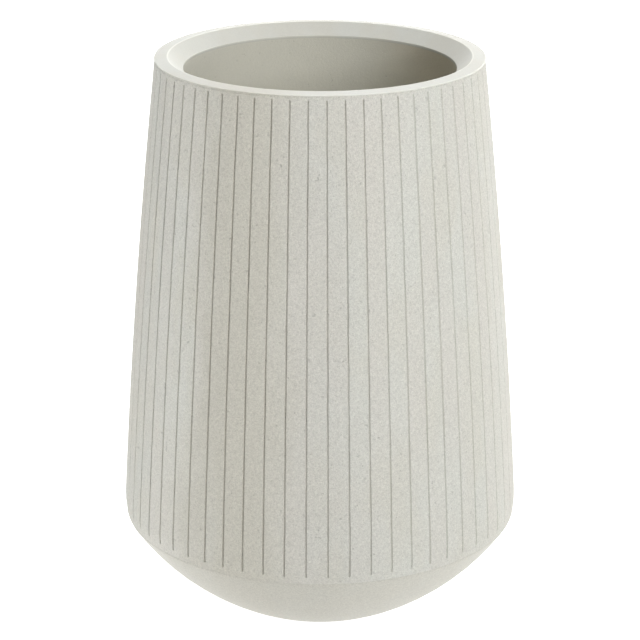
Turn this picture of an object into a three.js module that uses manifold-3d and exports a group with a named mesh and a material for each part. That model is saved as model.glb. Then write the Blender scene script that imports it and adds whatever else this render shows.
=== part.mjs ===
// Tall planter with engraved vertical lines: one cast pot, and the rubber plug in its drain hole.
// Millimetres, +Z up. The origin is at the middle of the flat base that the pot stands on.
// The front, where the pot was looked at from, is -Y.

import * as THREE from 'three';
import { mergeGeometries, mergeVertices } from 'three/addons/utils/BufferGeometryUtils.js';
import Module from 'manifold-3d';

const DEG = Math.PI / 180;

// Driving sizes of the pot's outside.
const potHeight = 502; // base to the crest of the rim
const girthRadius = 177.8; // the widest place
const girthHeight = 97.9; // height of the widest place above the base
const girthTurnRadius = 60; // gentle turn from the wall down to the crease
const creaseTurn = 12 * DEG; // how far the surface leans under where the crease begins
const creaseRadius = 10; // tight turn at the crease, from the wall into the bowl
const baseRadius = 79; // flat base under the bowl
const wallTurn = 3.05 * DEG; // how far the tapered wall curves from girth to rim
const bowlTurn = 31.7 * DEG; // how far the bowl curves from crease to base

// Driving sizes of the rim.
const rimRadius = 142; // outer edge of the rim, where the wall ends
const rimBandWidth = 11.4; // nearly flat band from the outer edge in to the crest
const rimBandFall = 1.1; // drop of the band from the crest to the outer edge
const rimFall = 10.5; // drop of the inward slope from crest to lip
const mouthRadius = 117.4; // clear opening inside the lip
const lipHeight = 2; // upright face under the lip

// Driving sizes of the inside and the base.
const wallThickness = 12; // at the girth and round the bowl
const innerCornerRadius = 6; // from the inside of the wall into the inside of the bowl
const innerWallTurn = 8 * DEG; // how far the inner wall curves from its corner to the lip
const floorThickness = 14;
const recessRadius = 64; // shallow recess inside the ring that the pot stands on
const recessDepth = 4;
const drainHoleRadius = 12.5;

// Driving sizes of the engraved lines.
const grooveCount = 60;
const grooveWidth = 1.7;
const grooveDepth = 1.6;
const grooveRunOut = 3; // length over which each end of a line grows shallow
const grooveTopDrop = 5.3; // crest of the rim to the upper ends
const grooveEndDrop = 6.4; // girth to the lower ends
const groovePhase = 2.09 * DEG; // angle of the line just right of the front

// Driving sizes of the plug.
const plugClearance = 0.3; // round the stem and under the flange
const plugFlangeWidth = 6; // how far the flange reaches over the floor round the hole
const plugFlangeThickness = 3.5;
const plugStemShortfall = 1.5; // the stem ends this far above the recess
const plugRibCount = 3;
const plugRibDepth = 1.2;
const plugNeckRadius = 4;
const plugNeckHeight = 4;
const plugKnobRadius = 7;

// How finely round shapes are divided.
const plugSegments = 40;
const wallSteps = 4;
const girthSteps = 2;
const creaseSteps = 2;
const innerCornerSteps = 3;
const bowlSteps = 5;
const knobSteps = 5;
const weldDistance = 1e-4; // corners closer than this are one corner

const potMaterial = new THREE.MeshStandardMaterial({ color: 0xcfcdc5, roughness: 0.85, metalness: 0 });
const plugMaterial = new THREE.MeshStandardMaterial({ color: 0x3a3a3a, roughness: 0.7, metalness: 0 });

// A unit step outwards from a surface whose normal stands at an angle above the horizontal.
function normalAt(angle) {
  return new THREE.Vector2(Math.cos(angle), Math.sin(angle));
}

function pointOnArc(arc, angle) {
  return normalAt(angle).multiplyScalar(arc.radius).add(arc.centre);
}

function arcPoints(arc, from, to, steps) {
  const points = [];
  for (let i = 0; i <= steps; i += 1) {
    points.push(pointOnArc(arc, from + (to - from) * i / steps));
  }
  return points;
}

// The arc that goes on from another without a kink, turns by the given angle and ends at a point.
// A positive turn leaves the first arc upwards, and a negative one leaves it downwards.
function arcFrom(first, end, turn) {
  const reach = end.clone().sub(first.centre);
  const swing = Math.acos(first.radius * Math.cos(turn / 2) / reach.length());
  const middle = Math.atan2(reach.y, reach.x) - Math.sign(turn) * swing;
  const from = middle - turn / 2;
  const start = pointOnArc(first, from);
  const radius = start.distanceTo(end) / (2 * Math.sin(Math.abs(turn) / 2));
  const centre = start.clone().addScaledVector(normalAt(from), -radius);
  return { centre, radius, from, to: middle + turn / 2 };
}

function shrunk(arc, amount) {
  return { ...arc, radius: arc.radius - amount };
}

// An arc that touches another from within, at an angle.
function arcWithin(arc, angle, radius) {
  const centre = pointOnArc(arc, angle).addScaledVector(normalAt(angle), -radius);
  return { centre, radius };
}

// The angle at which an arc that bulges outwards reaches a height.
function angleAtHeight(arc, height) {
  return Math.asin((height - arc.centre.y) / arc.radius);
}

// The arcs that the outside and the inside of the pot follow.
function potArcs() {
  const girth = {
    centre: new THREE.Vector2(girthRadius - girthTurnRadius, girthHeight),
    radius: girthTurnRadius,
  };
  const wallTop = new THREE.Vector2(rimRadius, potHeight - rimBandFall);
  const wall = arcFrom(girth, wallTop, wallTurn);
  const crease = arcWithin(girth, -creaseTurn, creaseRadius);
  const bowl = arcFrom(crease, new THREE.Vector2(baseRadius, 0), -bowlTurn);
  const innerBowl = shrunk(bowl, wallThickness);
  const innerCorner = arcWithin(innerBowl, bowl.from, innerCornerRadius);
  const lipFoot = new THREE.Vector2(mouthRadius, potHeight - rimFall - lipHeight);
  const innerWall = arcFrom(innerCorner, lipFoot, innerWallTurn);
  return { girth, wall, crease, bowl, innerCorner, innerWall, innerBowl };
}

// Where the engraved lines end, as angles on the arc at the girth and on the wall.
function lineEnds({ girth, wall }) {
  return {
    lower: angleAtHeight(girth, girthHeight - grooveEndDrop),
    upper: angleAtHeight(wall, potHeight - grooveTopDrop),
  };
}

// The engraved part of the outside, from the lower ends of the lines to the upper ends.
function engravedOutline(arcs) {
  const { girth, wall } = arcs;
  const ends = lineEnds(arcs);
  return [
    ...arcPoints(girth, ends.lower, wall.from, girthSteps),
    ...arcPoints(wall, wall.from, ends.upper, wallSteps).slice(1),
  ];
}

// The whole outside, from the edge of the base up to the rim.
function outerOutline(arcs) {
  const { wall, crease, bowl } = arcs;
  return [
    ...arcPoints(bowl, bowl.to, bowl.from, bowlSteps),
    ...arcPoints(crease, bowl.from, -creaseTurn, creaseSteps).slice(1),
    ...engravedOutline(arcs),
    pointOnArc(wall, wall.to),
  ];
}

function rimOutline() {
  return [
    new THREE.Vector2(rimRadius - rimBandWidth, potHeight),
    new THREE.Vector2(mouthRadius, potHeight - rimFall),
  ];
}

// The inside, from under the lip down to the edge of the flat floor.
function innerOutline({ bowl, innerCorner, innerWall, innerBowl }) {
  const floorEdge = angleAtHeight(innerBowl, floorHeight());
  return [
    ...arcPoints(innerWall, innerWall.to, innerWall.from, wallSteps),
    ...arcPoints(innerCorner, innerWall.from, bowl.from, innerCornerSteps).slice(1),
    ...arcPoints(innerBowl, bowl.from, floorEdge, bowlSteps).slice(1),
  ];
}

function floorHeight() {
  return recessDepth + floorThickness;
}

// The drain hole and the recess, back to the ring that the pot stands on.
function baseOutline() {
  return [
    new THREE.Vector2(drainHoleRadius, floorHeight()),
    new THREE.Vector2(drainHoleRadius, recessDepth),
    new THREE.Vector2(recessRadius, recessDepth),
    new THREE.Vector2(recessRadius, 0),
  ];
}

// Turns an outline about the Z axis, with one of its edges at the angle of the first line.
function revolve(outline, segments) {
  const geometry = new THREE.LatheGeometry(outline, segments, groovePhase);
  geometry.rotateX(Math.PI / 2);
  return geometry;
}

// The tool that engraves one line: a thin plate whose inner edge follows the wall below its surface.
function grooveTool(arcs) {
  const path = engravedOutline(arcs);
  const last = path.length - 1;
  const along = (i) => path[Math.min(i + 1, last)].clone().sub(path[Math.max(i - 1, 0)]).normalize();
  const sideways = (i, distance) => {
    const direction = along(i);
    return path[i].clone().add(new THREE.Vector2(direction.y, -direction.x).multiplyScalar(distance));
  };
  const outer = path.map((_, i) => sideways(i, grooveDepth)).reverse();
  const inner = path.slice(1, -1).map((_, i) => sideways(i + 1, -grooveDepth));
  const start = sideways(0, -grooveDepth).addScaledVector(along(0), grooveRunOut);
  const end = sideways(last, -grooveDepth).addScaledVector(along(last), -grooveRunOut);
  const shape = new THREE.Shape([path[0], start, ...inner, end, path[last], ...outer]);
  const geometry = new THREE.ExtrudeGeometry(shape, { depth: grooveWidth, bevelEnabled: false });
  geometry.translate(0, 0, -grooveWidth / 2);
  geometry.rotateX(Math.PI / 2);
  return geometry;
}

function grooveTools(arcs) {
  const tools = [];
  for (let i = 0; i < grooveCount; i += 1) {
    const angle = groovePhase + i * 2 * Math.PI / grooveCount;
    tools.push(grooveTool(arcs).rotateZ(angle - Math.PI / 2));
  }
  return mergeGeometries(tools);
}

// Joins the shared corners of a geometry and hands it over as a solid.
function toSolid(wasm, geometry) {
  const bare = geometry.clone();
  bare.deleteAttribute('normal');
  bare.deleteAttribute('uv');
  const merged = mergeVertices(bare, weldDistance);
  const mesh = new wasm.Mesh({
    numProp: 3,
    vertProperties: new Float32Array(merged.attributes.position.array),
    triVerts: new Uint32Array(merged.index.array),
  });
  return new wasm.Manifold(mesh);
}

function toGeometry(solid) {
  const mesh = solid.getMesh();
  const geometry = new THREE.BufferGeometry();
  geometry.setAttribute('position', new THREE.BufferAttribute(mesh.vertProperties, 3));
  geometry.setIndex(new THREE.BufferAttribute(mesh.triVerts, 1));
  geometry.computeVertexNormals();
  return geometry;
}

function potShell(wasm) {
  const arcs = potArcs();
  const outline = [...outerOutline(arcs), ...rimOutline(), ...innerOutline(arcs), ...baseOutline()];
  outline.push(outline[0].clone());
  const blank = toSolid(wasm, revolve(outline, grooveCount));
  const engraved = blank.subtract(toSolid(wasm, grooveTools(arcs)));
  const mesh = new THREE.Mesh(toGeometry(engraved), potMaterial);
  mesh.name = 'pot_shell';
  return mesh;
}

// Soft ribs round the stem, from its lower end to the flange.
function plugStemOutline(bottom, top) {
  const crest = drainHoleRadius - plugClearance;
  const pitch = (top - bottom) / plugRibCount;
  const points = [];
  for (let i = 0; i < plugRibCount; i += 1) {
    points.push(new THREE.Vector2(crest - plugRibDepth, bottom + pitch * i));
    points.push(new THREE.Vector2(crest, bottom + pitch * (i + 0.5)));
  }
  points.push(new THREE.Vector2(crest - plugRibDepth, top));
  return points;
}

function drainPlug() {
  const stemBottom = recessDepth + plugStemShortfall;
  const flangeBottom = floorHeight() + plugClearance;
  const flangeTop = flangeBottom + plugFlangeThickness;
  const flangeRadius = drainHoleRadius + plugFlangeWidth;
  const neckTop = flangeTop + plugNeckHeight;
  const knobStart = Math.asin(plugNeckRadius / plugKnobRadius) - Math.PI / 2;
  const knob = {
    centre: new THREE.Vector2(0, neckTop - plugKnobRadius * Math.sin(knobStart)),
    radius: plugKnobRadius,
  };
  const outline = [
    new THREE.Vector2(0, stemBottom),
    ...plugStemOutline(stemBottom, flangeBottom),
    new THREE.Vector2(flangeRadius, flangeBottom),
    new THREE.Vector2(flangeRadius, flangeTop),
    new THREE.Vector2(plugNeckRadius, flangeTop),
    ...arcPoints(knob, knobStart, Math.PI / 2, knobSteps),
  ];
  outline[outline.length - 1].x = 0;
  const mesh = new THREE.Mesh(revolve(outline, plugSegments), plugMaterial);
  mesh.name = 'drain_plug';
  return mesh;
}

const wasm = await Module();
wasm.setup();

const planter = new THREE.Group();
planter.add(potShell(wasm), drainPlug());

export default planter;
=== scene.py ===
"""Tall planter with engraved vertical lines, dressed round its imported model.

Metres, +Z up, the front of the planter towards -Y.
"""
import math

import bpy
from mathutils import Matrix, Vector


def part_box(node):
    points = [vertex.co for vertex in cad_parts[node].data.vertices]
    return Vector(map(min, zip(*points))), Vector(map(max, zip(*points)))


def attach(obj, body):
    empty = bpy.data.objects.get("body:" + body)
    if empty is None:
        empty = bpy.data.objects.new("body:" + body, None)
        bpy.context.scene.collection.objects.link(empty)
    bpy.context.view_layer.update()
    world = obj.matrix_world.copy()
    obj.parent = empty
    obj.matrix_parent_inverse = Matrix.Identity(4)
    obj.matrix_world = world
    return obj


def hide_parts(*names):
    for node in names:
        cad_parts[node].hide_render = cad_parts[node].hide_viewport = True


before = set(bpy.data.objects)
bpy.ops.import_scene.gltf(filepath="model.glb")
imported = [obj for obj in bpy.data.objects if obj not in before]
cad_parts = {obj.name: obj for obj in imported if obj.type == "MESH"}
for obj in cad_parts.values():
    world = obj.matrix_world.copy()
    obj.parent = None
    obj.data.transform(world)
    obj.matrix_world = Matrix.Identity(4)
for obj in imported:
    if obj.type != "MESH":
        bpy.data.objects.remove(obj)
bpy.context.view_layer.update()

MM = 0.001

# Sizes that the frame gives.
POT_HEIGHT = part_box("pot_shell")[1][2]
PLUG_LOW, PLUG_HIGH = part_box("drain_plug")

# Sizes of the pot's outside.
GIRTH_RADIUS = 177.8 * MM
GIRTH_HEIGHT = 97.9 * MM
GIRTH_TURN_RADIUS = 60 * MM
CREASE_TURN = math.radians(12)
CREASE_RADIUS = 10 * MM
BASE_RADIUS = 79 * MM
WALL_TURN = math.radians(3.05)
BOWL_TURN = math.radians(31.7)

# Sizes of the rim.
RIM_RADIUS = 142 * MM
BAND_WIDTH = 11.4 * MM
BAND_FALL = 1.1 * MM
RIM_FALL = 10.5 * MM
MOUTH_RADIUS = 117.4 * MM
LIP_HEIGHT = 2 * MM

# Sizes of the inside and of the base.
WALL_THICKNESS = 12 * MM
INNER_CORNER_RADIUS = 6 * MM
INNER_WALL_TURN = math.radians(8)
FLOOR_HEIGHT = 18 * MM
RECESS_RADIUS = 64 * MM
RECESS_DEPTH = 4 * MM
DRAIN_HOLE_RADIUS = 12.5 * MM

# The sandy wall lies back from the smooth rim, and at the crease hardly deeper than the smooth bowl.
SAND_STEP = 0.5 * MM
CREASE_STEP = 0.1 * MM
LEDGE_RUN = 0.15 * MM

# The rim's upright face, and the narrow undercut in the wall below it.
RIM_FACE = 1.0 * MM
UNDERCUT_HEIGHT = 1.1 * MM
UNDERCUT_DEPTH = 0.4 * MM

# Rounding of the edges.
RIM_EDGE_ROUND = 0.9 * MM
CREST_ROUND = 1.4 * MM
LIP_ROUND = 0.7 * MM
BASE_ROUND = 1.5 * MM
HOLE_ROUND = 1 * MM
FLOOR_ROUND = 4 * MM

# The engraved lines.
LINE_COUNT = 60
LINE_WIDTH = 1.7 * MM
LINE_DEPTH = 1.3 * MM
LINE_BELOW_RIM = 6.2 * MM
LINE_BELOW_GIRTH = 5.5 * MM
LINE_TOP = POT_HEIGHT - LINE_BELOW_RIM
LINE_BOTTOM = GIRTH_HEIGHT - LINE_BELOW_GIRTH
LINE_PHASE = math.radians(2.1)
LINE_END_ZONE = 1.3 * LINE_WIDTH

# Half widths of a line's mouth and of its bed, in line widths.
MOUTH_SHARE = 0.58
BED_SHARE = 0.28

# Columns on a line's side, as shares of the way from its middle to its edge.
SIDE_COLUMNS = (0.5, 0.77, 1.0)
COLUMNS_PER_LINE = 11

# A line's edge and its guard take at most these shares of half the way to the next line.
MOST_EDGE = 0.5
MOST_GUARD = 0.2

# Rows of points on the stretches of the outlines.
LINE_END_ROWS = 8
WALL_ROWS = 50
BOWL_ROWS = 10
CREASE_ROWS = 6
INNER_WALL_ROWS = 8
INNER_BOWL_ROWS = 7
INNER_CORNER_ROWS = 4

# The ring of points on the floor lies this share of the way from the drain hole to the wall.
FLOOR_RING_SHARE = 0.4

# How far a line strays to a side, its share of uneven width and depth, and how quickly that changes.
LINE_WANDER = 0.12 * MM
LINE_UNEVENNESS = 0.2
WANDER_SCALE = 35.0

# The noise swings by about a quarter to each side, and this brings it to about 1.
WANDER_GAIN = 4

# Neighbouring lines, and the strips between them, lie this far apart in their noise.
NOISE_STEP = 7.3

# Rows this close to an edge keep its shading off the faces beside it.
GUARD = 0.3 * MM

# Points closer than this are one point, and numbers that should be whole are off by less than this.
MERGE_DISTANCE = 0.002 * MM
ROUNDING = 0.01


class Number:
    """What a node puts out, used in plain arithmetic. Each operation adds one Math node."""

    def __init__(self, graph, socket):
        self.graph = graph
        self.socket = socket

    def math(self, operation, *values):
        return self.graph.node("ShaderNodeMath", {"operation": operation}, dict(enumerate(values)))

    def __add__(self, other):
        return self.math("ADD", self, other)

    def __sub__(self, other):
        return self.math("SUBTRACT", self, other)

    def __rsub__(self, other):
        return self.math("SUBTRACT", other, self)

    def __mul__(self, other):
        return self.math("MULTIPLY", self, other)

    def __truediv__(self, other):
        return self.math("DIVIDE", self, other)

    def __rtruediv__(self, other):
        return self.math("DIVIDE", other, self)

    def __mod__(self, other):
        return self.math("MODULO", self, other)

    def __pow__(self, other):
        return self.math("POWER", self, other)

    def __abs__(self):
        return self.math("ABSOLUTE", self)

    def __neg__(self):
        return self.math("MULTIPLY", self, -1)

    __radd__ = __add__
    __rmul__ = __mul__

    def floor(self):
        return self.math("FLOOR", self)

    def sign(self):
        return self.math("SIGN", self)

    def root(self):
        return self.math("SQRT", self)

    def sine(self):
        return self.math("SINE", self)

    def cosine(self):
        return self.math("COSINE", self)

    def least(self, other):
        return self.math("MINIMUM", self, other)

    def most(self, other):
        return self.math("MAXIMUM", self, other)

    def within(self, low, high):
        return self.most(low).least(high)

    def ease(self, start, end):
        """0 before start, 1 after end, and smooth between."""
        settings = {"interpolation_type": "SMOOTHSTEP"}
        values = {"Value": self, "From Min": start, "From Max": end}
        return self.graph.node("ShaderNodeMapRange", settings, values)

    def spread(self, start, end, low, high):
        """start becomes low and end becomes high, in a straight line."""
        values = {"Value": self, "From Min": start, "From Max": end, "To Min": low, "To Max": high}
        return self.graph.node("ShaderNodeMapRange", {}, values)


class Graph:
    """A node tree that is written down as calls and arithmetic."""

    def __init__(self, tree):
        self.tree = tree

    def node(self, kind, settings, values, output=0):
        """Adds a node: its settings first, then the values or links of its sockets."""
        made = self.tree.nodes.new(kind)
        for name, setting in settings.items():
            setattr(made, name, setting)
        for name, value in values.items():
            self.feed(made.inputs[name], value)
        return Number(self, made.outputs[output])

    def feed(self, socket, value):
        if isinstance(value, Number):
            self.tree.links.new(value.socket, socket)
        else:
            socket.default_value = value

    def parts(self, vector):
        """The x, y and z of a vector."""
        first = self.node("ShaderNodeSeparateXYZ", {}, {0: vector})
        return [Number(self, socket) for socket in first.socket.node.outputs]


def unit(angle):
    return Vector((math.cos(angle), math.sin(angle)))


class Arc:
    """A round stretch of an outline that bulges outwards, in radius and height."""

    def __init__(self, centre, radius, start=0.0, end=0.0):
        self.centre = Vector(centre)
        self.radius = radius
        self.start = start
        self.end = end

    def at(self, angle):
        return self.centre + unit(angle) * self.radius

    def angle_at_height(self, height):
        return math.asin((height - self.centre.y) / self.radius)

    def points(self, start, end, steps):
        return [self.at(start + (end - start) * i / steps) for i in range(steps + 1)]

    def shrunk(self, amount):
        return Arc(self.centre, self.radius - amount, self.start, self.end)

    def within(self, angle, radius):
        """An arc that touches this one from within, at an angle."""
        return Arc(self.at(angle) - unit(angle) * radius, radius)

    def leave(self, goal, turn):
        """The arc that leaves this one without a kink, turns by an angle and ends at the goal."""
        reach = Vector(goal) - self.centre
        swing = math.acos(self.radius * math.cos(turn / 2) / reach.length)
        middle = math.atan2(reach.y, reach.x) - math.copysign(swing, turn)
        start = middle - turn / 2
        first = self.at(start)
        radius = (Vector(goal) - first).length / (2 * math.sin(abs(turn) / 2))
        return Arc(first - unit(start) * radius, radius, start, middle + turn / 2)


def rounded(before, corner, after, radius, steps=4):
    """The points of a fillet in a corner of an outline."""
    back = (before - corner).normalized()
    ahead = (after - corner).normalized()
    half = back.angle(ahead) / 2
    middle = (back + ahead).normalized()
    centre = corner + middle * (radius / math.sin(half))
    reach = radius / math.tan(half)
    first = corner + back * reach - centre
    last = corner + ahead * reach - centre
    sweep = first.angle(last)
    points = []
    for i in range(steps + 1):
        share = i / steps
        a = math.sin((1 - share) * sweep) / math.sin(sweep)
        b = math.sin(share * sweep) / math.sin(sweep)
        points.append(centre + first * a + last * b)
    return points


class Outline:
    """Points in radius and height, each with the finish of the surface there and its share of painted
    highlight.
    """

    def __init__(self):
        self.points = []
        self.finish = {"sandy": [], "inside": [], "worn": []}

    def add(self, points, sandy=0.0, inside=0.0, worn=0.0):
        self.points += points
        self.finish["sandy"] += [sandy] * len(points)
        self.finish["inside"] += [inside] * len(points)
        self.finish["worn"] += [worn] * len(points)

    def close(self):
        self.points.append(self.points[0].copy())
        for values in self.finish.values():
            values.append(values[0])


def add_sandy_wall(outline, girth, wall):
    """The wall from the crease to the rim, set back at both ends, with close rows where the lines end."""
    sand_girth = girth.shrunk(SAND_STEP)
    sand_wall = wall.shrunk(SAND_STEP)
    low = LEDGE_RUN / girth.radius - CREASE_TURN
    low_guard = low + GUARD / girth.radius
    line_foot = sand_girth.angle_at_height(LINE_BOTTOM - LINE_END_ZONE)
    line_low = sand_girth.angle_at_height(LINE_BOTTOM + LINE_END_ZONE)
    line_high = sand_wall.angle_at_height(LINE_TOP - LINE_END_ZONE)
    line_head = sand_wall.angle_at_height(LINE_TOP + LINE_END_ZONE)
    high = wall.angle_at_height(POT_HEIGHT - BAND_FALL - RIM_FACE)
    undercut = sand_wall.shrunk(UNDERCUT_DEPTH)
    undercut_low = high - UNDERCUT_HEIGHT / wall.radius
    wall_high = undercut_low - UNDERCUT_DEPTH / wall.radius
    crease_girth = girth.shrunk(CREASE_STEP)
    outline.add([crease_girth.at(low), crease_girth.at(low_guard)], sandy=1.0)
    outline.add(sand_girth.points(line_foot, line_low, LINE_END_ROWS), sandy=1.0)
    outline.add([sand_girth.at(wall.start)], sandy=1.0)
    outline.add(sand_wall.points(wall.start, line_high, WALL_ROWS)[1:], sandy=1.0)
    outline.add(sand_wall.points(line_high, line_head, LINE_END_ROWS)[1:], sandy=1.0)
    outline.add([sand_wall.at(wall_high), undercut.at(undercut_low), undercut.at(high)], sandy=1.0)
    outline.add([wall.at(high + LEDGE_RUN / wall.radius)])


def add_rim(outline, wall, lip_foot):
    """The band, the crest, the slope and the lip. The three edges get a painted highlight."""
    outer_edge = wall.at(wall.end)
    crest = Vector((RIM_RADIUS - BAND_WIDTH, POT_HEIGHT))
    lip = Vector((MOUTH_RADIUS, POT_HEIGHT - RIM_FALL))
    edges = [
        rounded(outline.points[-1], outer_edge, crest, RIM_EDGE_ROUND),
        rounded(outer_edge, crest, lip, CREST_ROUND),
        rounded(crest, lip, lip_foot, LIP_ROUND, steps=3),
    ]
    for edge, next_edge in zip(edges, edges[1:]):
        guard = (next_edge[0] - edge[-1]).normalized() * GUARD
        outline.add(edge, worn=1.0)
        outline.add([edge[-1] + guard, next_edge[0] - guard])
    outline.add(edges[-1], worn=1.0)
    outline.add([lip_foot])


def add_inside(outline, inner_wall, inner_corner, inner_bowl):
    """The inside from below the lip down to the floor."""
    guard = Vector((0, GUARD))
    floor_angle = inner_bowl.angle_at_height(FLOOR_HEIGHT)
    floor_edge = inner_bowl.at(floor_angle)
    wall = inner_wall.points(inner_wall.end, inner_wall.start, INNER_WALL_ROWS)
    corner = inner_corner.points(inner_wall.start, inner_bowl.start, INNER_CORNER_ROWS)
    bowl = inner_bowl.points(inner_bowl.start, floor_angle, INNER_BOWL_ROWS)
    hole_edge = Vector((DRAIN_HOLE_RADIUS, FLOOR_HEIGHT))
    outline.add([wall[0] - guard] + wall[1:], inside=1.0)
    outline.add(corner[1:], inside=1.0)
    outline.add(bowl[1:-1], inside=1.0)
    outline.add(rounded(bowl[-2], floor_edge, hole_edge, FLOOR_ROUND), inside=1.0)
    outline.add([hole_edge.lerp(Vector((floor_edge.x, FLOOR_HEIGHT)), FLOOR_RING_SHARE)], inside=1.0)


def add_base(outline, foot, bowl_start):
    """The drain hole, the recess and the ring that the pot stands on."""
    corners = [
        outline.points[-1],
        Vector((DRAIN_HOLE_RADIUS, FLOOR_HEIGHT)),
        Vector((DRAIN_HOLE_RADIUS, RECESS_DEPTH)),
        Vector((RECESS_RADIUS, RECESS_DEPTH)),
        Vector((RECESS_RADIUS, 0)),
        foot,
        bowl_start,
    ]
    radii = [HOLE_ROUND] * 4 + [BASE_ROUND]
    for i, radius in enumerate(radii):
        outline.add(rounded(corners[i], corners[i + 1], corners[i + 2], radius, steps=2))


def pot_outline():
    """The pot's section, once round: up the outside, over the rim, down the inside and out at the base."""
    girth = Arc((GIRTH_RADIUS - GIRTH_TURN_RADIUS, GIRTH_HEIGHT), GIRTH_TURN_RADIUS)
    wall = girth.leave((RIM_RADIUS, POT_HEIGHT - BAND_FALL), WALL_TURN)
    crease = girth.within(-CREASE_TURN, CREASE_RADIUS)
    bowl = crease.leave((BASE_RADIUS, 0), -BOWL_TURN)
    inner_bowl = bowl.shrunk(WALL_THICKNESS)
    inner_corner = inner_bowl.within(bowl.start, INNER_CORNER_RADIUS)
    lip_foot = Vector((MOUTH_RADIUS, POT_HEIGHT - RIM_FALL - LIP_HEIGHT))
    inner_wall = inner_corner.leave(lip_foot, INNER_WALL_TURN)

    outline = Outline()
    under = bowl.points(bowl.end, bowl.start, BOWL_ROWS)
    crease_points = crease.points(bowl.start, -CREASE_TURN, CREASE_ROWS)
    outline.add(under[1:] + crease_points[1:])
    add_sandy_wall(outline, girth, wall)
    add_rim(outline, wall, lip_foot)
    add_inside(outline, inner_wall, inner_corner, inner_bowl)
    add_base(outline, under[0], under[1])
    outline.close()
    return outline


def outline_object(name, outline):
    """A string of points in radius and height, which the turning tree reads."""
    mesh = bpy.data.meshes.new(name)
    mesh.from_pydata([(p.x, 0, p.y) for p in outline.points], [], [])
    for kind, values in outline.finish.items():
        mesh.attributes.new(kind, "FLOAT", "POINT").data.foreach_set("value", values)
    made = bpy.data.objects.new(name, mesh)
    bpy.context.scene.collection.objects.link(made)
    return made


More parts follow.
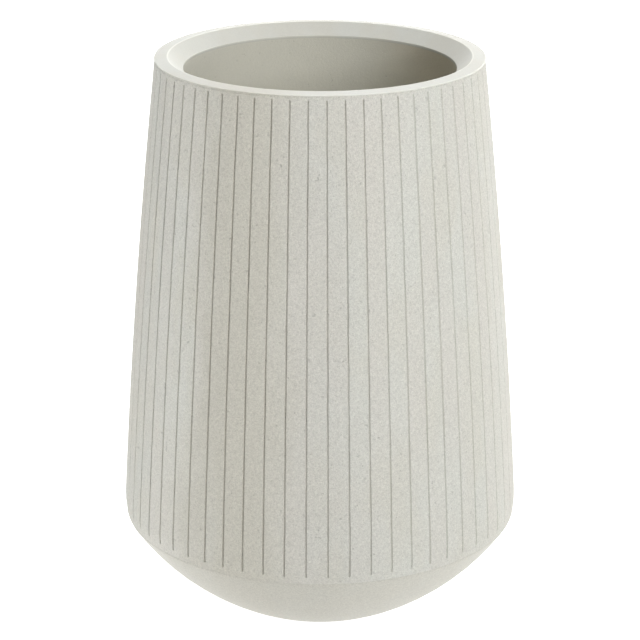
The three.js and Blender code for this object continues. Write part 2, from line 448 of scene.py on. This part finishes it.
def turning_tree():
    """Geometry nodes: turns an outline about Z and engraves evenly spaced upright lines in its sandy part."""
    tree = bpy.data.node_groups.new("turned_and_engraved", "GeometryNodeTree")
    sockets = [
        ("Outline", "NodeSocketGeometry"),
        ("Line count", "NodeSocketInt"),
        ("Columns per line", "NodeSocketInt"),
        ("Line width", "NodeSocketFloat"),
        ("Line depth", "NodeSocketFloat"),
        ("Line phase", "NodeSocketFloat"),
        ("Line bottom", "NodeSocketFloat"),
        ("Line top", "NodeSocketFloat"),
        ("Line wander", "NodeSocketFloat"),
        ("Line unevenness", "NodeSocketFloat"),
        ("Wander scale", "NodeSocketFloat"),
        ("Edge guard", "NodeSocketFloat"),
        ("Finish", "NodeSocketMaterial"),
    ]
    for name, kind in sockets:
        tree.interface.new_socket(name, in_out="INPUT", socket_type=kind)
    tree.interface.new_socket("Mesh", in_out="OUTPUT", socket_type="NodeSocketGeometry")
    graph = Graph(tree)
    entry = tree.nodes.new("NodeGroupInput")
    given = {socket.name: Number(graph, socket) for socket in entry.outputs if socket.name}

    count = given["Line count"]
    columns = given["Columns per line"]
    rows = graph.node("GeometryNodeAttributeDomainSize", {"component": "MESH"}, {0: given["Outline"]})
    grid = graph.node(
        "GeometryNodeMeshGrid", {}, {"Vertices X": count * columns + 1, "Vertices Y": rows}
    )
    index = graph.node("GeometryNodeInputIndex", {}, {})
    column = ((index + 0.5) / rows).floor()
    row = index - column * rows

    def outline_value(data_type, value):
        taken = {"Geometry": given["Outline"], "Value": value, "Index": row}
        return graph.node("GeometryNodeSampleIndex", {"data_type": data_type}, taken)

    def outline_finish(name):
        named = graph.node("GeometryNodeInputNamedAttribute", {"data_type": "FLOAT"}, {"Name": name})
        return outline_value("FLOAT", named)

    place = graph.node("GeometryNodeInputPosition", {}, {})
    radius, _, height = graph.parts(outline_value("FLOAT_VECTOR", place))
    sandy = outline_finish("sandy")
    inside = outline_finish("inside")
    # Share of painted highlight, on the rim's rounded edges.
    worn = outline_finish("worn")

    # Each line strays a little, and its width and depth vary along the way.
    half = (columns - 1) / 2
    line = ((column + half + ROUNDING) / columns).floor() % count
    spot = {"X": line * NOISE_STEP, "Y": height * given["Wander scale"]}
    way = graph.node("ShaderNodeCombineXYZ", {}, spot)
    wander = graph.node("ShaderNodeTexNoise", {}, {"Vector": way, "Scale": 1.0, "Detail": 1.0}, "Color")
    sway, wider, deeper = [(part - 0.5) * WANDER_GAIN for part in graph.parts(wander)]
    width = given["Line width"] * (1 + wider * given["Line unevenness"])
    depth = given["Line depth"] * (1 + deeper * given["Line unevenness"])

    # Each side of a line has three columns and one beyond its edge. The others share the rest of the way.
    local = (column + half + ROUNDING).floor() % columns - half
    centre = (column - local) / columns * (math.tau / count) + given["Line phase"]
    side = abs(local)
    half_pitch = radius * math.pi / count
    edge = (width * MOUTH_SHARE).least(half_pitch * MOST_EDGE)
    guard = given["Edge guard"].least(half_pitch * MOST_GUARD)
    section = 0
    for i, share in enumerate(SIDE_COLUMNS):
        before = SIDE_COLUMNS[i - 1] if i else 0
        section = section + (side - i).within(0, 1) * (share - before)
    edge_column = len(SIDE_COLUMNS)
    rest = (side - edge_column - 1).most(0) / (half - edge_column - 0.5)
    offset = edge * section + guard * (side - edge_column).within(0, 1) + (half_pitch - edge - guard) * rest
    angle = centre + (local.sign() * offset + sway * given["Line wander"]) / radius

    # A line is a slot with round ends, so its depth depends on the distance to its middle.
    past_end = (height - given["Line top"]).most(given["Line bottom"] - height).most(0)
    distance = (offset ** 2 + past_end ** 2).root()
    cut = (1 - distance.ease(width * BED_SHARE, width * MOUTH_SHARE)) * sandy
    cut_radius = radius - cut * depth

    x = cut_radius * angle.sine()
    y = -(cut_radius * angle.cosine())
    turned = graph.node("ShaderNodeCombineXYZ", {}, {"X": x, "Y": y, "Z": height})

    shape = grid
    for name, value in (("sandy", sandy), ("inside", inside), ("worn", worn), ("line", cut)):
        settings = {"data_type": "FLOAT", "domain": "POINT"}
        values = {"Geometry": shape, "Name": name, "Value": value}
        shape = graph.node("GeometryNodeStoreNamedAttribute", settings, values)
    shape = graph.node("GeometryNodeSetPosition", {}, {"Geometry": shape, "Position": turned})
    shape = graph.node("GeometryNodeMergeByDistance", {}, {"Geometry": shape, "Distance": MERGE_DISTANCE})
    shape = graph.node("GeometryNodeSetShadeSmooth", {}, {"Geometry": shape, "Shade Smooth": True})
    shape = graph.node("GeometryNodeRealizeInstances", {}, {"Geometry": shape})
    shape = graph.node("GeometryNodeSetMaterial", {}, {"Geometry": shape, "Material": given["Finish"]})
    leave = tree.nodes.new("NodeGroupOutput")
    graph.feed(leave.inputs[0], shape)
    return tree


def turned(name, outline, tree, sizes):
    """Runs the turning tree on an outline and keeps the result as a plain mesh."""
    source = outline_object(name + "_outline", outline)
    modifier = source.modifiers.new("turning", "NODES")
    modifier.node_group = tree
    for item in tree.interface.items_tree:
        if item.in_out == "INPUT" and item.name in sizes:
            modifier[item.identifier] = sizes[item.name]
    bpy.context.view_layer.update()
    evaluated = source.evaluated_get(bpy.context.evaluated_depsgraph_get())
    mesh = bpy.data.meshes.new_from_object(evaluated)
    mesh.name = name
    bpy.data.objects.remove(source)
    made = bpy.data.objects.new(name, mesh)
    bpy.context.scene.collection.objects.link(made)
    return made


def material(name):
    made = bpy.data.materials.new(name)
    made.use_nodes = True
    made.node_tree.nodes.clear()
    return made, Graph(made.node_tree)


def finish_surface(graph, shader):
    out = graph.tree.nodes.new("ShaderNodeOutputMaterial")
    graph.feed(out.inputs["Surface"], shader)


def noise(graph, place, scale, detail=2.0, roughness=0.5):
    values = {"Vector": place, "Scale": scale, "Detail": detail, "Roughness": roughness}
    return graph.node("ShaderNodeTexNoise", {}, values, "Fac")


def mixed(graph, share, first, second):
    """A colour between two colours, each given as three numbers or as a node's colour."""
    whole = [colour if isinstance(colour, Number) else (*colour, 1) for colour in (first, second)]
    colour_a, colour_b, result = 6, 7, 2
    values = {0: share, colour_a: whole[0], colour_b: whole[1]}
    return graph.node("ShaderNodeMix", {"data_type": "RGBA"}, values, result)


def scaled_colour(graph, colour, amount):
    """A colour made lighter or darker by a number."""
    values = {0: colour, 1: graph.node("ShaderNodeCombineXYZ", {}, {0: amount, 1: amount, 2: amount})}
    return graph.node("ShaderNodeVectorMath", {"operation": "MULTIPLY"}, values)


# Colours of the stone.
STONE = (0.650, 0.652, 0.600)
WARMER_STONE = (0.643, 0.635, 0.572)
ROSIER_STONE = (0.650, 0.634, 0.582)
# Partly the stone's own darker tone, partly painted shade.
STREAK_AND_SHADE_STONE = (0.608, 0.591, 0.520)
INNER_STONE = (0.700, 0.688, 0.608)
# Painted shade with a brownish bounce, for the right of the inside.
SHADED_INNER_STONE = (0.700, 0.650, 0.540)

# How close the grain, the pits, the clouds and the patches lie, in bumps a metre.
FINE_GRAIN = 1050.0
COARSE_GRAIN = 450.0
PITS = 260.0
CLOUDS = 60.0
PATCHES = (26.0, 26.0, 11.0)

# Noise below the first number has none of a pit or a patch, and above the second has all of it.
PIT_BORDERS = (0.70, 0.78)
PATCH_BORDERS = (0.38, 0.62)
STRIP_BORDERS = (0.3, 0.7)

# Azimuth and half width of the streaks: a darker and warmer one down the outside, partly the stone's own tone
# and partly painted shade, a painted sheen further left, and painted shade with a brownish bounce inside.
DARK_STREAK = (math.radians(-24), math.radians(22))
PAINTED_SHEEN_STREAK = (math.radians(-50), math.radians(19))
INNER_SHADE_STREAK = (math.radians(110), math.radians(55))

# The share of its half width at which a streak starts to fade, and how far the patches shift its borders.
STREAK_CORE = 0.2
STREAK_WOBBLE = 0.35

# How much of the dark streak's colour the bowl has, as painted shade under the widest part, and of the rosy
# one the strips between the lines.
BOWL_PAINTED_SHADE = 0.7
STRIP_TINT = 0.8

# The strips change in tone this often in a metre of height.
TONE_CHANGES = 5

# Strength of the grain, where the sandy wall has 1. The bowl has the smooth share besides.
INSIDE_GRAIN = 0.2
SMOOTH_GRAIN = 0.2
BOWL_GRAIN = 0.7

# What each adds to the stone's brightness or takes from it.
FINE_CONTRAST = 0.62
COARSE_CONTRAST = 0.36
CLOUD_CONTRAST = 0.03
# Painted shade inside the engraved lines, patchy with the coarse grain.
LINE_PAINTED_SHADE = 0.06
LINE_SPOTS = 0.5
PIT_SHADE = 0.15
SMOOTH_SHADE = 0.06
# Painted highlight on the rim's three rounded edges.
PAINTED_HIGHLIGHT_GAIN = 0.2
# Painted sheen down the left of the sandy wall.
PAINTED_SHEEN_GAIN = 0.09

# Depth of the sandy wall's relief, the parts that make it up, and the inside's share of it.
RELIEF = 0.55 * MM
FINE_RELIEF = 0.8
COARSE_RELIEF = 0.9
PIT_RELIEF = 0.5
CLOUD_RELIEF = 0.1
INSIDE_RELIEF = 0.6

# How dull the smooth and the sandy surfaces are, how much the clouds change that, and how bright the
# reflections are.
SMOOTH_ROUGHNESS = 0.45
SANDY_ROUGHNESS = 0.92
CLOUD_ROUGHNESS = 0.08
REFLECTION = 0.25


def streak_share(azimuth, streak):
    """1 in the middle of a streak and 0 beyond its borders."""
    middle, half_width = streak
    return 1 - abs(azimuth - middle).ease(half_width * STREAK_CORE, half_width)


def strip_tone(graph, around, height):
    """A share that differs from one strip between two lines to the next."""
    strip = ((around - LINE_PHASE) * (LINE_COUNT / math.tau)).floor()
    spot = {"X": strip * NOISE_STEP, "Y": height * TONE_CHANGES}
    tone = noise(graph, graph.node("ShaderNodeCombineXYZ", {}, spot), 1.0, detail=1.0)
    return tone.ease(*STRIP_BORDERS)


def cast_finish():
    """Pale casting mix: a sandy wall, a smooth rim, a nearly smooth bowl and a dull inside."""
    made, graph = material("cast_composite")
    place = graph.node("ShaderNodeTexCoord", {}, {}, "Object")
    sandy, inside, worn, line = [
        graph.node("ShaderNodeAttribute", {"attribute_name": name}, {}, "Fac")
        for name in ("sandy", "inside", "worn", "line")
    ]

    fine = noise(graph, place, FINE_GRAIN, roughness=0.6) - 0.5
    coarse = noise(graph, place, COARSE_GRAIN, roughness=0.6) - 0.5
    pits = noise(graph, place, PITS, detail=1.0).ease(*PIT_BORDERS)
    clouds = noise(graph, place, CLOUDS) - 0.5
    spot = graph.node("ShaderNodeVectorMath", {"operation": "MULTIPLY"}, {0: place, 1: PATCHES})
    patches = noise(graph, spot, 1.0)

    x, y, z = graph.parts(place)
    around = x.math("ARCTAN2", x, -y)
    rough = sandy + inside * INSIDE_RELIEF
    smooth = 1 - sandy.most(inside)
    bowl = smooth * (1 - z.ease(GIRTH_HEIGHT, 2 * GIRTH_HEIGHT))

    azimuth = around + (patches - 0.5) * STREAK_WOBBLE
    dark, painted_sheen, painted_inner_shade = [
        streak_share(azimuth, streak) for streak in (DARK_STREAK, PAINTED_SHEEN_STREAK, INNER_SHADE_STREAK)
    ]
    outer = mixed(graph, patches.ease(*PATCH_BORDERS), STONE, WARMER_STONE)
    outer = mixed(graph, strip_tone(graph, around, z) * sandy * STRIP_TINT, outer, ROSIER_STONE)
    # The dark streak is partly the stone's own tone and partly painted shade. The bowl takes most of its
    # colour as painted shade under the widest part.
    outer = mixed(graph, dark.most(bowl * BOWL_PAINTED_SHADE), outer, STREAK_AND_SHADE_STONE)
    # Painted shade with a brownish bounce on the right of the inside.
    inner = mixed(graph, painted_inner_shade, INNER_STONE, SHADED_INNER_STONE)
    base = mixed(graph, inside, outer, inner)

    graininess = sandy + inside * INSIDE_GRAIN + smooth * SMOOTH_GRAIN + bowl * BOWL_GRAIN
    speckle = fine * FINE_CONTRAST + coarse * COARSE_CONTRAST
    # Painted shade inside the engraved lines and in the pits.
    painted_line_and_pit_shade = line * (LINE_PAINTED_SHADE + coarse * LINE_SPOTS) + pits * rough * PIT_SHADE
    # Painted highlight on the rim's edges and a painted sheen down the left of the sandy wall make the stone
    # lighter there. The smooth parts are a little darker overall.
    shade = smooth * SMOOTH_SHADE - worn * PAINTED_HIGHLIGHT_GAIN - painted_sheen * sandy * PAINTED_SHEEN_GAIN
    brightness = 1 + graininess * speckle + clouds * CLOUD_CONTRAST - painted_line_and_pit_shade - shade

    relief = fine * FINE_RELIEF + coarse * COARSE_RELIEF - pits * PIT_RELIEF
    height = rough * relief + clouds * CLOUD_RELIEF
    bump = graph.node("ShaderNodeBump", {}, {"Strength": 1.0, "Distance": RELIEF, "Height": height})
    roughness = rough.spread(0, 1, SMOOTH_ROUGHNESS, SANDY_ROUGHNESS) + clouds * CLOUD_ROUGHNESS
    values = {
        "Base Color": scaled_colour(graph, base, brightness),
        "Roughness": roughness,
        "Specular IOR Level": REFLECTION,
        "Normal": bump,
    }
    finish_surface(graph, graph.node("ShaderNodeBsdfPrincipled", {}, values))
    return made


# The rubber: its colours, and how close its bloom and its pores lie, in bumps a metre.
RUBBER = (0.022, 0.022, 0.021)
BLOOMED_RUBBER = (0.05, 0.049, 0.046)
BLOOM = 120.0
PORES = 1500.0
PORE_DEPTH = 0.05 * MM
RUBBER_ROUGHNESS = 0.55
BLOOMED_ROUGHNESS = 0.8


def rubber_finish():
    """Dark soft rubber with a dull bloom."""
    made, graph = material("plug_rubber")
    place = graph.node("ShaderNodeTexCoord", {}, {}, "Object")
    bloom = noise(graph, place, BLOOM, detail=3.0, roughness=0.6)
    pores = noise(graph, place, PORES)
    bump = graph.node("ShaderNodeBump", {}, {"Strength": 1.0, "Distance": PORE_DEPTH, "Height": pores})
    values = {
        "Base Color": mixed(graph, bloom, RUBBER, BLOOMED_RUBBER),
        "Roughness": bloom.spread(0, 1, RUBBER_ROUGHNESS, BLOOMED_ROUGHNESS),
        "Normal": bump,
    }
    finish_surface(graph, graph.node("ShaderNodeBsdfPrincipled", {}, values))
    return made


def make_pot(tree, finish):
    sizes = {
        "Line count": LINE_COUNT,
        "Columns per line": COLUMNS_PER_LINE,
        "Line width": LINE_WIDTH,
        "Line depth": LINE_DEPTH,
        "Line phase": LINE_PHASE,
        "Line bottom": LINE_BOTTOM,
        "Line top": LINE_TOP,
        "Line wander": LINE_WANDER,
        "Line unevenness": LINE_UNEVENNESS,
        "Wander scale": WANDER_SCALE,
        "Edge guard": GUARD,
        "Finish": finish,
    }
    return turned("engraved_pot", pot_outline(), tree, sizes)


# Sizes of the plug.
PLUG_CLEARANCE = 0.3 * MM
PLUG_RIBS = 3
PLUG_RIB_DEPTH = 1.2 * MM
PLUG_FLANGE_THICKNESS = 3.5 * MM
PLUG_NECK_RADIUS = 4 * MM
PLUG_KNOB_RADIUS = 7 * MM
PLUG_FLANGE_LOW_ROUND = 1 * MM
PLUG_FLANGE_HIGH_ROUND = 1.4 * MM
PLUG_NECK_ROUND = 1.2 * MM
PLUG_RIB_ROWS = 8
PLUG_KNOB_ROWS = 12
PLUG_COLUMNS = 72


def plug_outline():
    """The plug from the middle of its foot to the middle of its knob."""
    stem_low = PLUG_LOW[2]
    stem_radius = DRAIN_HOLE_RADIUS - PLUG_CLEARANCE
    flange_low = FLOOR_HEIGHT + PLUG_CLEARANCE
    flange_high = flange_low + PLUG_FLANGE_THICKNESS
    flange_radius = PLUG_HIGH[0]
    points = [Vector((0, stem_low)), Vector((stem_radius - 2 * PLUG_RIB_DEPTH, stem_low))]
    ribs_low = stem_low + PLUG_RIB_DEPTH
    for i in range(PLUG_RIBS * PLUG_RIB_ROWS + 1):
        swell = 0.5 - 0.5 * math.cos(math.tau * i / PLUG_RIB_ROWS)
        height = ribs_low + (flange_low - ribs_low) * i / (PLUG_RIBS * PLUG_RIB_ROWS)
        points.append(Vector((stem_radius - PLUG_RIB_DEPTH * (1 - swell), height)))
    low_edge = Vector((flange_radius, flange_low))
    high_edge = Vector((flange_radius, flange_high))
    neck_foot = Vector((PLUG_NECK_RADIUS, flange_high))
    knob = Arc((0, PLUG_HIGH[2] - PLUG_KNOB_RADIUS), PLUG_KNOB_RADIUS)
    knob_start = math.asin(PLUG_NECK_RADIUS / knob.radius) - math.pi / 2
    points += rounded(points[-1], low_edge, high_edge, PLUG_FLANGE_LOW_ROUND)
    points += rounded(points[-1], high_edge, neck_foot, PLUG_FLANGE_HIGH_ROUND)
    points += rounded(points[-1], neck_foot, knob.at(knob_start), PLUG_NECK_ROUND)
    points += knob.points(knob_start, math.pi / 2, PLUG_KNOB_ROWS)[:-1]
    points.append(Vector((0, PLUG_HIGH[2])))
    outline = Outline()
    outline.add(points)
    return outline


def make_plug(tree, finish):
    """The plug has no lines: they have no depth, and every column is a line of its own."""
    sizes = {
        "Line count": PLUG_COLUMNS,
        "Columns per line": 1,
        "Line width": LINE_WIDTH,
        "Finish": finish,
    }
    return turned("drain_plug_rubber", plug_outline(), tree, sizes)


# Where the photograph was taken from.
CAMERA_DISTANCE = 2.050
CAMERA_PITCH = math.radians(19.75)
CAMERA_TARGET = 0.2596
CAMERA_LENS = 129.2
CAMERA_SENSOR = 36


def add_camera():
    data = bpy.data.cameras.new("camera")
    data.lens = CAMERA_LENS
    data.sensor_width = CAMERA_SENSOR
    camera = bpy.data.objects.new("camera", data)
    bpy.context.scene.collection.objects.link(camera)
    back = CAMERA_DISTANCE * math.cos(CAMERA_PITCH)
    up = CAMERA_DISTANCE * math.sin(CAMERA_PITCH)
    camera.location = (0, -back, CAMERA_TARGET + up)
    camera.rotation_euler = (math.pi / 2 - CAMERA_PITCH, 0, 0)
    bpy.context.scene.camera = camera


LAMP_DISTANCE = 2.0


def add_lamp(azimuth, elevation, size, power):
    """A square soft lamp that faces the middle of the planter. Azimuth 0 is the front, 90 the right."""
    name = f"lamp_{azimuth}_{elevation}"
    data = bpy.data.lights.new(name, "AREA")
    data.shape = "SQUARE"
    data.size = size
    data.energy = power
    lamp = bpy.data.objects.new(name, data)
    bpy.context.scene.collection.objects.link(lamp)
    around = math.radians(azimuth)
    above = math.radians(elevation)
    aim = Vector((0, 0, POT_HEIGHT / 2))
    away = Vector((
        math.sin(around) * math.cos(above),
        -math.cos(around) * math.cos(above),
        math.sin(above),
    ))
    lamp.location = aim + away * LAMP_DISTANCE
    lamp.rotation_euler = away.to_track_quat("Z", "Y").to_euler()


# Azimuth and elevation in degrees, size in metres, power in watts.
LAMPS = [
    (-85, 0, 0.5, 15.6),
    (-20, 40, 1.0, 3),
    (35, 25, 0.6, 18),
    (35, 60, 1.0, 6),
    (180, 10, 1.0, 4.3),
    (180, 60, 1.0, 29),
    (135, 0, 1.0, 5),
    (135, 10, 1.0, 16),
    (110, 5, 1.0, 3.3),
]


def set_world():
    """White to the camera and in reflections, and without any other light."""
    world = bpy.data.worlds.new("studio")
    world.use_nodes = True
    world.node_tree.nodes.clear()
    graph = Graph(world.node_tree)
    values = {"Color": (1, 1, 1, 1), "Strength": seen_directly(graph)}
    light = graph.node("ShaderNodeBackground", {}, values)
    out = world.node_tree.nodes.new("ShaderNodeOutputWorld")
    graph.feed(out.inputs["Surface"], light)
    bpy.context.scene.world = world


def seen_directly(graph):
    """1 where the camera sees this surface, straight, in a reflection or through glass."""
    camera = graph.node("ShaderNodeLightPath", {}, {}, "Is Camera Ray")
    glossy = graph.node("ShaderNodeLightPath", {}, {}, "Is Glossy Ray")
    through = graph.node("ShaderNodeLightPath", {}, {}, "Is Transmission Ray")
    return (camera + glossy + through).least(1)


# The ground that the planter stands on: half its width, the grey of its paper and its own light.
GROUND_HALF = 4.0
GROUND_PAPER = 0.55
GROUND_LIGHT = 0.55

# It glows to the camera, more from the far distance on than up to the near one, so that it looks white.
GROUND_NEAR = 0.25
GROUND_FAR = 0.6
GROUND_GLOW = 0.36
GROUND_FAR_GLOW = 0.5


def floor_finish():
    """Pale floor that looks white, and still keeps the planter's soft shadow."""
    made, graph = material("studio_floor")
    place = graph.node("ShaderNodeTexCoord", {}, {}, "Object")
    away = graph.node("ShaderNodeVectorMath", {"operation": "LENGTH"}, {0: place}, "Value")
    seen = seen_directly(graph)
    extra = away.spread(GROUND_NEAR, GROUND_FAR, GROUND_GLOW, GROUND_FAR_GLOW)
    shine = GROUND_LIGHT + seen * extra
    tint = graph.node("ShaderNodeCombineXYZ", {}, {0: shine, 1: shine, 2: shine})
    glow = graph.node("ShaderNodeEmission", {}, {"Color": tint})
    grey = (GROUND_PAPER, GROUND_PAPER, GROUND_PAPER, 1)
    paper = graph.node("ShaderNodeBsdfDiffuse", {}, {"Color": grey})
    finish_surface(graph, graph.node("ShaderNodeAddShader", {}, {0: paper, 1: glow}))
    return made


def add_floor():
    half = GROUND_HALF
    mesh = bpy.data.meshes.new("floor")
    corners = [(-half, -half, 0), (half, -half, 0), (half, half, 0), (-half, half, 0)]
    mesh.from_pydata(corners, [], [(0, 1, 2, 3)])
    mesh.materials.append(floor_finish())
    floor = bpy.data.objects.new("floor", mesh)
    bpy.context.scene.collection.objects.link(floor)


tree = turning_tree()
pot = make_pot(tree, cast_finish())
plug = make_plug(tree, rubber_finish())
bpy.data.node_groups.remove(tree)
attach(pot, "pot")
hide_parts("pot_shell")
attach(plug, "plug")
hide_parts("drain_plug")

add_floor()
for lamp in LAMPS:
    add_lamp(*lamp)
set_world()
add_camera()
bpy.context.scene.view_settings.view_transform = "Standard"
